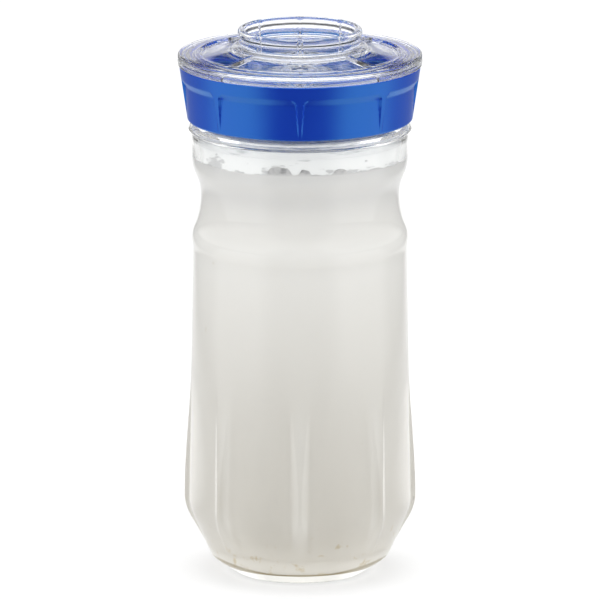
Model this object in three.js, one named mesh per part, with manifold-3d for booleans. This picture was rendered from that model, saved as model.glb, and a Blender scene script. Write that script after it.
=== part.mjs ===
// Kefir making jar: a ribbed glass jar with a waist, a blue screw lid with a strainer and a reamer in it,
// and a clear twist-on cover with a grip ring. Millimetres, +Z up, origin at the middle of the foot.
import * as THREE from 'three';
import { mergeVertices } from 'three/addons/utils/BufferGeometryUtils.js';
import Module from 'manifold-3d';

const wasm = await Module();
wasm.setup();

// Clearances
const SEAT_GAP = 0.3; // between a piece and the seat that it rests on
const PLUG_CLEARANCE = 0.6; // between the cover's plug and the lid's collar
const SKIRT_CLEARANCE = 2.3; // between the lid's lower edge and the jar's bead

// Glass jar, from the foot up: radii of the outside, heights of each stretch
const FOOT_RADIUS = 29;
const FOOT_RING_WIDTH = 3.5;
const PUSH_UP = 2.2; // how far the underside is domed in
const HEEL_RADIUS = 36.6;
const HEEL_HEIGHT = 6.5;
const TAPER_RADIUS = 42.7;
const TAPER_HEIGHT = 13.7;
const HIP_RADIUS = 45.8;
const HIP_HEIGHT = 11;
const BODY_TOP_RADIUS = 43.8;
const BODY_HEIGHT = 106;
const RIDGE_RADIUS = 44.2;
const RIDGE_HEIGHT = 5.5;
const WAIST_RADIUS = 40.7;
const COVE_HEIGHT = 16.3; // ridge to waist
const COVE_PULL = 0.4; // share of the cove's height where its curve turns upright
const NECK_RADIUS = 44.2;
const SHOULDER_HEIGHT = 16; // waist to neck
const NECK_HEIGHT = 6;
const BEAD_RADIUS = 45.6;
const BEAD_HEIGHT = 6.5;
const FINISH_RADIUS = 42; // the part of the neck inside the lid
const FINISH_HEIGHT = 14.5;
const FINISH_WALL = 3.2;
const RIM_ROUND = 1;
const WALL = 3.1;
const FLOOR_THICKNESS = 6.2;

// Ribs and flattened panels of the glass body
const FACETS = 8;
const RIB_HEIGHT = 1.9;
const RIB_WIDTH = 7.2;
const RIB_CREST_WIDTH = 2.8;
const RIB_START = 9; // heights where the rib rises, is full, and fades away
const RIB_FULL_FROM = 32;
const RIB_FULL_TO = 36;
const RIB_END = 90;
const PANEL_DEPTH = 1.3;
const PANEL_START = 12;
const PANEL_FULL_FROM = 30;
const PANEL_FULL_TO = 58;
const PANEL_END = 106;

// Kefir in the jar
const FILL_LEVEL = 174.5;

// Screw lid
const THREAD_SPACE = 1.6; // room for the threads between neck and lid
const SKIRT_WALL = 2.5; // above the lip
const SKIRT_FLARE = 3.3; // how much wider the lid is at its top
const LIP_HEIGHT = 0.6; // the skirt draws in below this to its lower edge
const LIP_TAPER = 0.5;
const EDGE_BEVEL = 0.5;
const GASKET_THICKNESS = 2;
const DECK_THICKNESS = 2.6;
const DECK_OVERHANG = 1.2; // how far the deck reaches in over the jar's mouth
const COLLAR_DEPTH = 5.2;
const COLLAR_WALL = 3;
const COLLAR_BAND = 5; // plain band above the lid's panels
const LID_LEDGE = 2.8; // slope from the band back to the panels
const LID_PANEL_RECESS = 1.3;
const LID_RIB_WIDTH = 2.6;
const LID_RIB_FOOT_WIDTH = 1.5;
const LID_RIB_FLARE = 2.2;
const LID_RIB_FOOT = 2.5; // from the lid's lower edge

// Strainer and reamer
const STRAINER_LEDGE = 2.5;
const STRAINER_FLANGE = 1;
const STRAINER_WALL = 1.4;
const STRAINER_DEPTH = 5.4;
const SLOT_COUNT = 32;
const SLOT_WIDTH = 1.6;
const SLOT_MARGIN = 1.8;
const REAMER_RADIUS = 14;
const REAMER_HEIGHT = 10.6;
const REAMER_SPIGOT = 5.7;
const REAMER_SKIRT = 1.3; // upright edge under the dome
const FLUTES = 10;
const FLUTE_DEPTH = 0.16; // share of the radius that a flute takes away

// Clear cover
const COVER_OVERHANG = 0.6; // beyond the lid's collar
const COVER_RIM_HEIGHT = 4.6;
const RIM_WALL = 2.2;
const RIM_GROOVE = 0.5;
const RIM_GROOVE_HEIGHT = 1.9; // from the rim's lower edge
const PLATE_THICKNESS = 1.7;
const PLATE_RISE = 1.9; // from the rim to the grip ring
const POCKET_MARGIN = 3; // from the plug's inside to the pockets
const RING_LAND = 0.7; // from the ring's foot to the pockets
const POCKET_DEPTH = 1.2;
const PLUG_WALL = 2.8;
const COVER_SPOKES = 4;
const SPOKE_WIDTH = 2.4;
const RING_RADIUS = 25.5; // of the bead round its top
const RING_WAIST = 0.9; // how far the ring draws in below the bead
const RING_FOOT_FLARE = 2.4; // how much wider the ring is where it grows out of the plate
const RING_HEIGHT = 7.8;
const RING_WALL = 2.6;
const RING_RIBS = 8;
const RING_RIB_WIDTH = 1.8;
const RING_RIB_DEPTH = 0.8;
const SEAL_HEIGHT = 1.6;
const SEAL_WIDTH = 1.2;
const TABS = 4;
const TAB_ANGLE = 8; // degrees
const TAB_DROP = 1.2;
const TAB_WIDTH = 1.4;
const TURN = 24; // degrees that the cover turns between its stops

// Facets of the round stretches
const BODY_STEPS = 64; // eight to each rib and panel
const BODY_RINGS = 6;
const ROUND_STEPS = 40;
const INSIDE_STEPS = 32;
const CURVE_STEPS = 4;
const ARC_STEP = 8.5; // degrees to a step of a short arc
const FLUTE_STEPS = 4;

// Heights up the jar and the lid
const heelTop = HEEL_HEIGHT;
const taperTop = heelTop + TAPER_HEIGHT;
const hipTop = taperTop + HIP_HEIGHT;
const bodyTop = hipTop + BODY_HEIGHT;
const ridgeTop = bodyTop + RIDGE_HEIGHT;
const waist = ridgeTop + COVE_HEIGHT;
const neckLow = waist + SHOULDER_HEIGHT;
const beadLow = neckLow + NECK_HEIGHT;
const finishLow = beadLow + BEAD_HEIGHT;
const rimTop = finishLow + FINISH_HEIGHT;
const gasketLow = rimTop + SEAT_GAP;
const gasketTop = gasketLow + GASKET_THICKNESS;
const deckLow = gasketTop + SEAT_GAP;
const deckTop = deckLow + DECK_THICKNESS;
const collarTop = deckTop + COLLAR_DEPTH;
const skirtLow = finishLow + SKIRT_CLEARANCE;
const rimLow = collarTop + SEAT_GAP;
const rimHigh = rimLow + COVER_RIM_HEIGHT;

// Radii shared by the lid, its collar and what plugs into it
const mouthRadius = FINISH_RADIUS - FINISH_WALL;
const lidBore = FINISH_RADIUS + THREAD_SPACE;
const skirtRadius = lidBore + SKIRT_WALL;
const lidRadius = skirtRadius + SKIRT_FLARE;
const collarBore = lidRadius - COLLAR_WALL;
const coverRadius = lidRadius + COVER_OVERHANG;
const plugRadius = collarBore - PLUG_CLEARANCE;
const plugInner = plugRadius - PLUG_WALL;
const pocketOuter = plugInner - POCKET_MARGIN;
const pocketInner = RING_RADIUS + RING_FOOT_FLARE + RING_LAND;
const deckBore = mouthRadius - DECK_OVERHANG;
const ledgeRadius = deckBore + STRAINER_LEDGE;

// A closed geometry becomes a solid that can be cut and joined
function solid(geometry) {
  geometry.deleteAttribute('normal');
  geometry.deleteAttribute('uv');
  const merged = mergeVertices(geometry, 1e-4);
  const corners = merged.index.array;
  const triangles = [];
  for (let i = 0; i < corners.length; i += 3) {
    const [a, b, c] = [corners[i], corners[i + 1], corners[i + 2]];
    if (a !== b && b !== c && c !== a) triangles.push(a, b, c);
  }
  const vertProperties = new Float32Array(merged.attributes.position.array);
  const triVerts = new Uint32Array(triangles);
  return new wasm.Manifold(new wasm.Mesh({ numProp: 3, vertProperties, triVerts }));
}

// A profile of (radius, height) points turned about the Z axis
function turned(points, steps) {
  const geometry = new THREE.LatheGeometry(points, steps);
  geometry.rotateX(Math.PI / 2);
  return geometry;
}

function profile(...pairs) {
  return pairs.map(([radius, height]) => new THREE.Vector2(radius, height));
}

// A ring profile closes on itself
function ring(...pairs) {
  return profile(...pairs, pairs[0]);
}

function joined(solids) {
  return solids.reduce((whole, next) => whole.add(next));
}

// Copies of a solid spaced evenly about the Z axis
function around(piece, count, start = 0) {
  const copies = [];
  for (let i = 0; i < count; i += 1) copies.push(piece.rotate([0, 0, start + (360 / count) * i]));
  return joined(copies);
}

// A block between two radii, of a given sweep in degrees about the Z axis
function arcBlock(inner, outer, start, sweep, low, high) {
  const from = THREE.MathUtils.degToRad(start);
  const to = THREE.MathUtils.degToRad(start + sweep);
  const outline = new THREE.Shape();
  outline.absarc(0, 0, outer, from, to, false);
  outline.absarc(0, 0, inner, to, from, true);
  const geometry = new THREE.ExtrudeGeometry(outline, {
    depth: high - low,
    bevelEnabled: false,
    curveSegments: Math.ceil(sweep / ARC_STEP),
  });
  geometry.translate(0, 0, low);
  return solid(geometry);
}

// An upright outline (across, height) pushed out along the front radius
function frontPrism(outline, from, to) {
  const geometry = new THREE.ExtrudeGeometry(outline, {
    depth: to - from,
    bevelEnabled: false,
    curveSegments: CURVE_STEPS,
  });
  geometry.translate(0, 0, from);
  geometry.rotateX(Math.PI / 2);
  return solid(geometry);
}

function upright(halfWidth, low, high) {
  const outline = new THREE.Shape();
  outline.moveTo(-halfWidth, low);
  outline.lineTo(halfWidth, low);
  outline.lineTo(halfWidth, high);
  outline.lineTo(-halfWidth, high);
  outline.closePath();
  return outline;
}

// The jar's side from the top of the heel to the neck, drawn in by an inset, with rings up its straight body
function jarSide(path, inset, rings) {
  path.lineTo(TAPER_RADIUS - inset, taperTop);
  path.quadraticCurveTo(HIP_RADIUS - inset, taperTop + HIP_HEIGHT / 2, HIP_RADIUS - inset, hipTop);
  for (let i = 1; i <= rings; i += 1) {
    const share = i / rings;
    const radius = THREE.MathUtils.lerp(HIP_RADIUS, BODY_TOP_RADIUS, share);
    path.lineTo(radius - inset, hipTop + BODY_HEIGHT * share);
  }
  path.lineTo(RIDGE_RADIUS - inset, bodyTop + RIDGE_HEIGHT / 2);
  path.lineTo(RIDGE_RADIUS - inset, ridgeTop);
  path.quadraticCurveTo(
    WAIST_RADIUS - inset, ridgeTop + COVE_HEIGHT * COVE_PULL,
    WAIST_RADIUS - inset, waist,
  );
  path.bezierCurveTo(
    WAIST_RADIUS - inset, waist + SHOULDER_HEIGHT / 2,
    NECK_RADIUS - inset, waist + SHOULDER_HEIGHT / 2,
    NECK_RADIUS - inset, neckLow,
  );
  path.lineTo(NECK_RADIUS - inset, beadLow);
}

function jarOutside() {
  const path = new THREE.Path();
  const ringInner = FOOT_RADIUS - FOOT_RING_WIDTH;
  const beadMiddle = beadLow + BEAD_HEIGHT / 2;
  path.moveTo(0, PUSH_UP);
  path.lineTo(ringInner - 2 * PUSH_UP, PUSH_UP);
  path.lineTo(ringInner, 0);
  path.lineTo(FOOT_RADIUS, 0);
  path.quadraticCurveTo(HEEL_RADIUS - HEEL_HEIGHT / 3, 0, HEEL_RADIUS, heelTop);
  jarSide(path, 0, BODY_RINGS);
  path.quadraticCurveTo(BEAD_RADIUS, beadLow, BEAD_RADIUS, beadMiddle);
  path.quadraticCurveTo(BEAD_RADIUS, finishLow, FINISH_RADIUS, finishLow);
  path.lineTo(FINISH_RADIUS, rimTop - RIM_ROUND);
  path.lineTo(FINISH_RADIUS - RIM_ROUND, rimTop);
  path.lineTo(0, rimTop);
  return path.getPoints(CURVE_STEPS);
}

// The hollow, or what fills it: the side drawn in by the wall and a gap
function jarInside(gap, top) {
  const path = new THREE.Path();
  const floorRadius = HEEL_RADIUS - WALL - gap;
  path.moveTo(0, FLOOR_THICKNESS + gap);
  path.lineTo(floorRadius - RIM_ROUND, FLOOR_THICKNESS + gap);
  path.lineTo(floorRadius, FLOOR_THICKNESS + gap + RIM_ROUND);
  jarSide(path, WALL + gap, 1);
  path.lineTo(mouthRadius - gap, finishLow);
  path.lineTo(mouthRadius - gap, top);
  path.lineTo(0, top);
  return path.getPoints(CURVE_STEPS);
}

// Bearings of the points across one facet, closer together where the rib stands, in shares of the facet
function facetShares() {
  const facetArc = (2 * Math.PI * HIP_RADIUS) / FACETS;
  const crest = RIB_CREST_WIDTH / 2 / facetArc;
  const foot = RIB_WIDTH / 2 / facetArc;
  return [0, crest, foot, (foot + 0.5) / 2, 0.5, 1 - (foot + 0.5) / 2, 1 - foot, 1 - crest];
}

// The outside is turned first, then its points move out at the ribs and in at the panels between them
function ribbedBody() {
  const geometry = turned(jarOutside(), BODY_STEPS);
  const shares = facetShares();
  const crestShare = shares[1];
  const footShare = shares[2];
  const smooth = THREE.MathUtils.smoothstep;
  const points = geometry.attributes.position;
  for (let i = 0; i < points.count; i += 1) {
    const radius = Math.hypot(points.getX(i), points.getY(i));
    const height = points.getZ(i);
    const bearing = Math.atan2(points.getX(i), -points.getY(i)) / (2 * Math.PI);
    const step = Math.round(((bearing + 1) % 1) * BODY_STEPS) % BODY_STEPS;
    const facet = Math.floor(step / shares.length);
    const share = shares[step % shares.length];
    const fromRib = Math.min(share, 1 - share);
    const ribRise = smooth(height, RIB_START, RIB_FULL_FROM) * (1 - smooth(height, RIB_FULL_TO, RIB_END));
    const ribShape = 1 - THREE.MathUtils.clamp((fromRib - crestShare) / (footShare - crestShare), 0, 1);
    const panelRise = smooth(height, PANEL_START, PANEL_FULL_FROM)
      * (1 - smooth(height, PANEL_FULL_TO, PANEL_END));
    const panelShape = THREE.MathUtils.clamp((fromRib - footShare) / (0.5 - footShare), 0, 1);
    const shaped = radius + RIB_HEIGHT * ribRise * ribShape
      - PANEL_DEPTH * panelRise * panelShape * (2 - panelShape);
    const turn = ((facet + share) / FACETS) * 2 * Math.PI;
    if (radius > 0) points.setXY(i, shaped * Math.sin(turn), -shaped * Math.cos(turn));
  }
  return solid(geometry);
}

function glassJar() {
  const hollow = solid(turned(jarInside(0, rimTop + RIM_ROUND), INSIDE_STEPS));
  return ribbedBody().subtract(hollow);
}

function kefirFill() {
  const filled = solid(turned(jarInside(SEAT_GAP, rimTop), INSIDE_STEPS));
  const level = solid(turned(profile([0, 0], [HIP_RADIUS, 0], [HIP_RADIUS, FILL_LEVEL], [0, FILL_LEVEL]),
    INSIDE_STEPS));
  return filled.intersect(level);
}

function jarGasket() {
  const inner = mouthRadius + RIM_ROUND / 2;
  const outer = lidBore - SEAT_GAP;
  return solid(turned(ring([inner, gasketLow], [outer, gasketLow], [outer, gasketTop], [inner, gasketTop]),
    ROUND_STEPS));
}

// The lid's outer cone, which the collar and the ribs reach and the panels fall short of
function lidCone(height) {
  const share = (height - skirtLow - LIP_HEIGHT) / (collarTop - skirtLow - LIP_HEIGHT);
  return skirtRadius + SKIRT_FLARE * share;
}

function screwLid() {
  const bandLow = collarTop - COLLAR_BAND;
  const panelTop = bandLow - LID_LEDGE;
  const edgeTop = skirtLow + LIP_HEIGHT;
  const body = solid(turned(ring(
    [lidBore, skirtLow],
    [skirtRadius - LIP_TAPER, skirtLow],
    [skirtRadius, edgeTop],
    [lidCone(panelTop) - LID_PANEL_RECESS, panelTop],
    [lidCone(bandLow), bandLow],
    [lidRadius, collarTop - EDGE_BEVEL],
    [lidRadius - EDGE_BEVEL, collarTop],
    [collarBore, collarTop],
    [collarBore, deckTop],
    [ledgeRadius, deckTop],
    [ledgeRadius, deckTop - STRAINER_FLANGE - SEAT_GAP],
    [deckBore, deckTop - STRAINER_FLANGE - SEAT_GAP],
    [deckBore, deckLow],
    [lidBore, deckLow],
  ), ROUND_STEPS));

  const ribFoot = skirtLow + LID_RIB_FOOT;
  const half = LID_RIB_WIDTH / 2;
  const outline = new THREE.Shape();
  outline.moveTo(-LID_RIB_FOOT_WIDTH / 2, ribFoot);
  outline.lineTo(LID_RIB_FOOT_WIDTH / 2, ribFoot);
  outline.lineTo(half, bandLow - LID_RIB_FLARE);
  outline.quadraticCurveTo(half, bandLow, half + LID_RIB_FLARE, bandLow);
  outline.lineTo(-half - LID_RIB_FLARE, bandLow);
  outline.quadraticCurveTo(-half, bandLow, -half, bandLow - LID_RIB_FLARE);
  outline.closePath();
  const inner = lidBore + SKIRT_WALL / 2;
  const reach = solid(turned(ring(
    [inner, edgeTop],
    [lidCone(edgeTop), edgeTop],
    [lidCone(bandLow), bandLow],
    [inner, bandLow],
  ), ROUND_STEPS));
  const ribs = around(frontPrism(outline, inner, lidRadius), FACETS).intersect(reach);

  const tabRecess = arcBlock(collarBore - SEAT_GAP, tabOuter + SEAT_GAP,
    tabStart - tabSlack, TAB_ANGLE + TURN + 2 * tabSlack,
    collarTop - TAB_DROP, collarTop + SEAT_GAP);
  return body.add(ribs).subtract(around(tabRecess, TABS));
}

// The tabs under the cover's rim run in recesses in the lid's top edge and stop at their ends
const tabInner = collarBore + SEAT_GAP;
const tabOuter = tabInner + TAB_WIDTH;
const tabSlack = THREE.MathUtils.radToDeg(SEAT_GAP / tabInner);
const tabStart = -TAB_ANGLE / 2 + 180 / TABS;

function strainerDisc() {
  const flangeLow = deckTop - STRAINER_FLANGE;
  const outer = deckBore - SEAT_GAP;
  const floorLow = deckTop - STRAINER_DEPTH;
  const floorTop = floorLow + STRAINER_WALL;
  const hole = REAMER_SPIGOT + SEAT_GAP;
  const dish = solid(turned(ring(
    [hole, floorLow],
    [outer, floorLow],
    [outer, flangeLow],
    [ledgeRadius - SEAT_GAP, flangeLow],
    [ledgeRadius - SEAT_GAP, deckTop],
    [outer - STRAINER_WALL, deckTop],
    [outer - STRAINER_WALL, floorTop],
    [hole, floorTop],
  ), ROUND_STEPS));
  const slotFrom = REAMER_RADIUS + SLOT_MARGIN;
  const slotTo = outer - STRAINER_WALL - SLOT_MARGIN;
  const slotSide = upright(SLOT_WIDTH / 2, floorLow - SEAT_GAP, floorTop + SEAT_GAP);
  const slot = frontPrism(slotSide, slotFrom, slotTo);
  return dish.subtract(around(slot, SLOT_COUNT));
}

// A low fluted dome with a spigot that drops into the strainer's hole
function citrusReamer() {
  const seat = deckTop - STRAINER_DEPTH + STRAINER_WALL + SEAT_GAP;
  const path = new THREE.Path();
  path.moveTo(0, seat);
  path.lineTo(REAMER_RADIUS, seat);
  path.lineTo(REAMER_RADIUS, seat + REAMER_SKIRT);
  path.bezierCurveTo(
    REAMER_RADIUS * 0.92, seat + REAMER_HEIGHT * 0.6,
    REAMER_RADIUS * 0.5, seat + REAMER_HEIGHT,
    0, seat + REAMER_HEIGHT,
  );
  const geometry = turned(path.getPoints(CURVE_STEPS + 1), FLUTES * FLUTE_STEPS);
  const points = geometry.attributes.position;
  for (let i = 0; i < points.count; i += 1) {
    const bearing = Math.atan2(points.getX(i), -points.getY(i));
    const lift = (points.getZ(i) - seat) / REAMER_HEIGHT;
    const wave = (1 - Math.cos(FLUTES * bearing)) / 2;
    const groove = FLUTE_DEPTH * THREE.MathUtils.smoothstep(lift, 0.1, 0.5) * wave;
    points.setXY(i, points.getX(i) * (1 - groove), points.getY(i) * (1 - groove));
  }
  const spigotLow = seat - STRAINER_WALL - SEAT_GAP;
  const spigot = solid(turned(profile([0, spigotLow], [REAMER_SPIGOT, spigotLow],
    [REAMER_SPIGOT, seat + STRAINER_WALL], [0, seat + STRAINER_WALL]), ROUND_STEPS));
  return solid(geometry).add(spigot);
}

// Heights in the cover that its plate, ring and seal share
const plateRim = rimHigh + POCKET_DEPTH / 2;
const plateCentre = plateRim + PLATE_RISE;
const pocketOuterTop = plateRim - POCKET_DEPTH;
const pocketInnerTop = plateCentre - POCKET_DEPTH;
const plugLow = deckTop + SEAT_GAP;
const grooveRadius = plugRadius - SEAL_WIDTH;
const sealTop = collarTop - SEAT_GAP;
const sealLow = sealTop - SEAL_HEIGHT;
const plateUnder = pocketOuterTop - PLATE_THICKNESS;

function clearCover() {
  const ringTop = plateCentre + RING_HEIGHT;
  const ringInner = RING_RADIUS - RING_WALL;
  const grooveLow = rimLow + RIM_GROOVE_HEIGHT;
  const body = solid(turned(profile(
    [0, pocketInnerTop - PLATE_THICKNESS],
    [pocketInner, pocketInnerTop - PLATE_THICKNESS],
    [pocketOuter, plateUnder],
    [plugInner, plateUnder],
    [plugInner, plugLow],
    [plugRadius, plugLow],
    [plugRadius, sealLow - SEAT_GAP],
    [grooveRadius, sealLow - SEAT_GAP],
    [grooveRadius, sealTop + SEAT_GAP],
    [plugRadius, sealTop + SEAT_GAP],
    [plugRadius, plateUnder],
    [coverRadius - RIM_WALL, plateUnder],
    [coverRadius - RIM_WALL, rimLow],
    [coverRadius, rimLow],
    [coverRadius, grooveLow],
    [coverRadius - RIM_GROOVE, grooveLow + RIM_GROOVE / 2],
    [coverRadius, grooveLow + RIM_GROOVE],
    [coverRadius, rimHigh - RIM_ROUND],
    [coverRadius - RIM_ROUND, rimHigh],
    [pocketOuter + POCKET_DEPTH, plateRim],
    [pocketOuter, pocketOuterTop],
    [pocketInner, pocketInnerTop],
    [RING_RADIUS + RING_FOOT_FLARE, plateCentre],
    [RING_RADIUS + RING_FOOT_FLARE / 4, plateCentre + RING_HEIGHT / 5],
    [RING_RADIUS - RING_WAIST, plateCentre + RING_HEIGHT / 2],
    [RING_RADIUS, ringTop - 2 * RIM_ROUND],
    [RING_RADIUS - RIM_ROUND, ringTop],
    [ringInner + RIM_ROUND / 2, ringTop],
    [ringInner, ringTop - RIM_ROUND],
    [ringInner, plateCentre],
    [0, plateCentre],
  ), ROUND_STEPS));

  const spokeTop = new THREE.Shape();
  spokeTop.moveTo(RING_RADIUS, pocketInnerTop - PLATE_THICKNESS / 2);
  spokeTop.lineTo(pocketOuter + RIM_ROUND, pocketOuterTop - PLATE_THICKNESS / 2);
  spokeTop.lineTo(pocketOuter + POCKET_DEPTH, plateRim);
  spokeTop.lineTo(RING_RADIUS, plateCentre);
  spokeTop.closePath();
  const spokeGeometry = new THREE.ExtrudeGeometry(spokeTop, { depth: SPOKE_WIDTH, bevelEnabled: false });
  spokeGeometry.translate(0, 0, -SPOKE_WIDTH / 2);
  spokeGeometry.rotateX(Math.PI / 2);
  const spokes = around(solid(spokeGeometry), COVER_SPOKES, 180 / COVER_SPOKES);

  const ribSide = upright(RING_RIB_WIDTH / 2, pocketInnerTop, ringTop - RIM_ROUND);
  const ringRib = frontPrism(ribSide, ringInner - RING_RIB_DEPTH, ringInner + RING_WALL / 2);
  const tabLow = rimLow - TAB_DROP + SEAT_GAP;
  const tab = arcBlock(tabInner, tabOuter, tabStart, TAB_ANGLE, tabLow, plateUnder + RIM_ROUND);
  return body.add(spokes).add(around(ringRib, RING_RIBS)).add(around(tab, TABS));
}

function coverSeal() {
  const outer = collarBore - SEAT_GAP;
  const inner = outer - SEAL_WIDTH;
  const bevel = SEAL_WIDTH / 4;
  return solid(turned(ring(
    [inner, sealLow],
    [outer - bevel, sealLow],
    [outer, sealLow + bevel],
    [outer, sealTop - bevel],
    [outer - bevel, sealTop],
    [inner, sealTop],
  ), ROUND_STEPS));
}

// Each piece is one mesh with its own finish
function piece(name, shape, color, roughness, opacity = 1) {
  const { numProp, vertProperties, triVerts } = shape.getMesh();
  const geometry = new THREE.BufferGeometry();
  geometry.setAttribute('position', new THREE.BufferAttribute(new Float32Array(vertProperties), numProp));
  geometry.setIndex(new THREE.BufferAttribute(new Uint32Array(triVerts), 1));
  geometry.computeVertexNormals();
  const material = new THREE.MeshStandardMaterial({
    color,
    roughness,
    metalness: 0,
    opacity,
    transparent: opacity < 1,
  });
  const mesh = new THREE.Mesh(geometry, material);
  mesh.name = name;
  return mesh;
}

const LID_BLUE = '#1f57b8';
const jar = new THREE.Group();
jar.add(piece('glass_jar', glassJar(), '#e6edea', 0.05, 0.35));
jar.add(piece('kefir_fill', kefirFill(), '#dad8d2', 0.5));
jar.add(piece('jar_gasket', jarGasket(), '#e8ebed', 0.6));
jar.add(piece('screw_lid', screwLid(), LID_BLUE, 0.35));
jar.add(piece('strainer_disc', strainerDisc(), LID_BLUE, 0.35));
jar.add(piece('citrus_reamer', citrusReamer(), '#eef2f5', 0.06, 0.4));
jar.add(piece('cover_seal', coverSeal(), '#e8ebed', 0.6));
jar.add(piece('clear_cover', clearCover(), '#f1f5f8', 0.04, 0.3));

export default jar;
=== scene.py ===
import math

import bpy
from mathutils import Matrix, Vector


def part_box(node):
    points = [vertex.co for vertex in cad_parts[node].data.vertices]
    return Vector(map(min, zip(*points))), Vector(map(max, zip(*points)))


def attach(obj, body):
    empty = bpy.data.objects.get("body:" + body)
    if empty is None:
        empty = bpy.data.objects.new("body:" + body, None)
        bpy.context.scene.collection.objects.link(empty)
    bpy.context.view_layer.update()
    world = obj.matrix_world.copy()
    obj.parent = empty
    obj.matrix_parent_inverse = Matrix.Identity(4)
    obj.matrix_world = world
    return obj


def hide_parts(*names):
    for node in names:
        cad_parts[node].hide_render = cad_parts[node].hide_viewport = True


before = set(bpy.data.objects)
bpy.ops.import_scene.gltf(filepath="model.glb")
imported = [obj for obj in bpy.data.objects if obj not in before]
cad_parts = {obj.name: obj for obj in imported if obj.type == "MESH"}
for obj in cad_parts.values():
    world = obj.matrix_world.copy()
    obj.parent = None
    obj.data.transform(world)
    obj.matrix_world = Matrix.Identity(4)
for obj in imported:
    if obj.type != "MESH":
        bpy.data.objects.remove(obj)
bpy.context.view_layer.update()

# Glass jar
# Soda-lime glass, blown in a mould: a waisted jar with eight ribs up its lower body, flattened
# panels between them, a bead under the lid, and a sloped heel over a foot that is domed in.
MM = 0.001
MERGE_DISTANCE = 0.002 * MM
JAR_STEPS = 288
OUTSIDE_SPACING = 1.3
INSIDE_SPACING = 2.4
GLASS_WALL = 3.1
HEEL_TOP = 6.4
JAR_SIDE = [
    [(42.7, 20.2)],
    [(45.8, 25.7), (45.8, 31.2)],
    [(43.8, 137.2)],
    [(44.3, 138.6), (44.3, 141)],
    [(44.2, 143.2), (43.4, 144.9)],
    [(40.8, 150.5), (40.7, 159)],
    [(40.7, 167), (44.2, 167), (44.2, 175)],
    [(44.2, 181)],
]
FACETS = 8
FACET_ARC = 36.0
RIBBED_STRETCH = (7, 130)
RIB_HEIGHT = 1.9
RIB_WIDTH = 7.2
RIB_RISE = (9, 32)
RIB_FADE = (36, 90)
RIB_FLANK_SLOPE = 0.6
RIB_FLANK_LEAST = 0.3
RIB_SOFTNESS = 0.2
PANEL_DEPTH = 1.3
PANEL_RISE = (10, 30)
PANEL_FADE = (58, 108)


def pick(piece):
    """Make a piece the only one selected, and the active one."""
    bpy.ops.object.select_all(action="DESELECT")
    piece.select_set(True)
    bpy.context.view_layer.objects.active = piece


def new_piece(name, points, edges, faces):
    """Make a mesh object from points in mm, and pick it."""
    mesh = bpy.data.meshes.new(name)
    mesh.from_pydata([[value * MM for value in point] for point in points], edges, faces)
    piece = bpy.data.objects.new(name, mesh)
    bpy.context.collection.objects.link(piece)
    pick(piece)
    return piece


def face_outwards():
    """Merge the doubled points of the active piece, and turn its faces outwards."""
    bpy.ops.object.mode_set(mode="EDIT")
    bpy.ops.mesh.select_all(action="SELECT")
    bpy.ops.mesh.remove_doubles(threshold=MERGE_DISTANCE)
    bpy.ops.mesh.normals_make_consistent(inside=False)
    bpy.ops.object.mode_set(mode="OBJECT")


def smooth(piece, degrees=40):
    """Shade a piece smooth, apart from edges sharper than an angle."""
    pick(piece)
    bpy.ops.object.shade_smooth_by_angle(angle=math.radians(degrees))


def bezier(controls, count):
    """Points along a curve of two or more control points, without its first point."""
    points = []
    for i in range(1, count + 1):
        share = i / count
        row = list(controls)
        while len(row) > 1:
            row = [
                (a[0] + (b[0] - a[0]) * share, a[1] + (b[1] - a[1]) * share)
                for a, b in zip(row, row[1:])
            ]
        points.append(row[0])
    return points


def drawn(start, strokes, spacing):
    """A profile of (radius, height) points in mm along straight and curved strokes."""
    points = [start]
    for stroke in strokes:
        controls = [points[-1], *stroke]
        length = sum(math.dist(a, b) for a, b in zip(controls, controls[1:]))
        points += bezier(controls, max(1, round(length / spacing)))
    return points


def turned(name, profile, steps, closed=False):
    """Turn a profile of (radius, height) points in mm about the Z axis into a closed mesh."""
    count = len(profile)
    edges = [(i, i + 1) for i in range(count - 1)]
    if closed:
        edges.append((count - 1, 0))
    piece = new_piece(name, [(0, -radius, height) for radius, height in profile], edges, [])
    lathe = piece.modifiers.new("lathe", "SCREW")
    lathe.steps = lathe.render_steps = steps
    lathe.use_merge_vertices = True
    lathe.merge_threshold = MERGE_DISTANCE
    bpy.ops.object.modifier_apply(modifier="lathe")
    face_outwards()
    return piece


def clamp(value):
    return min(max(value, 0), 1)


def smoothstep(low, high, value):
    share = clamp((value - low) / (high - low))
    return share * share * (3 - 2 * share)


def swell(rise, fade, value):
    """0 before the rise, 1 between the rise and the fade, and 0 after the fade."""
    return smoothstep(*rise, value) * (1 - smoothstep(*fade, value))


def reshape(piece, shape, gather):
    """Move each point: shape(radius, height, share) in mm gives a new radius and height.

    The share is 0 at a rib and 1 at the next one, and gather draws the points to the ribs.
    """
    for vertex in piece.data.vertices:
        x, y, z = vertex.co
        bearing = math.atan2(x, -y) / (2 * math.pi) * FACETS
        facet = math.floor(bearing)
        share = bearing - facet
        share -= gather * math.sin(2 * math.pi * share) / (2 * math.pi)
        radius, height = shape(math.hypot(x, y) / MM, z / MM, share)
        turn = (facet + share) / FACETS * 2 * math.pi
        vertex.co = (
            radius * MM * math.sin(turn),
            -radius * MM * math.cos(turn),
            height * MM,
        )


def jar_side(inset):
    """Strokes up the jar's side, from the taper above the heel to the neck."""
    return [[(radius - inset, height) for radius, height in stroke] for stroke in JAR_SIDE]


def level_radius(profile, height):
    """Radius of a profile that climbs the jar's side, at a height above the heel."""
    for low, high in zip(profile, profile[1:]):
        if HEEL_TOP < low[1] <= height <= high[1]:
            return low[0] + (high[0] - low[0]) * (height - low[1]) / (high[1] - low[1])


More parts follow.
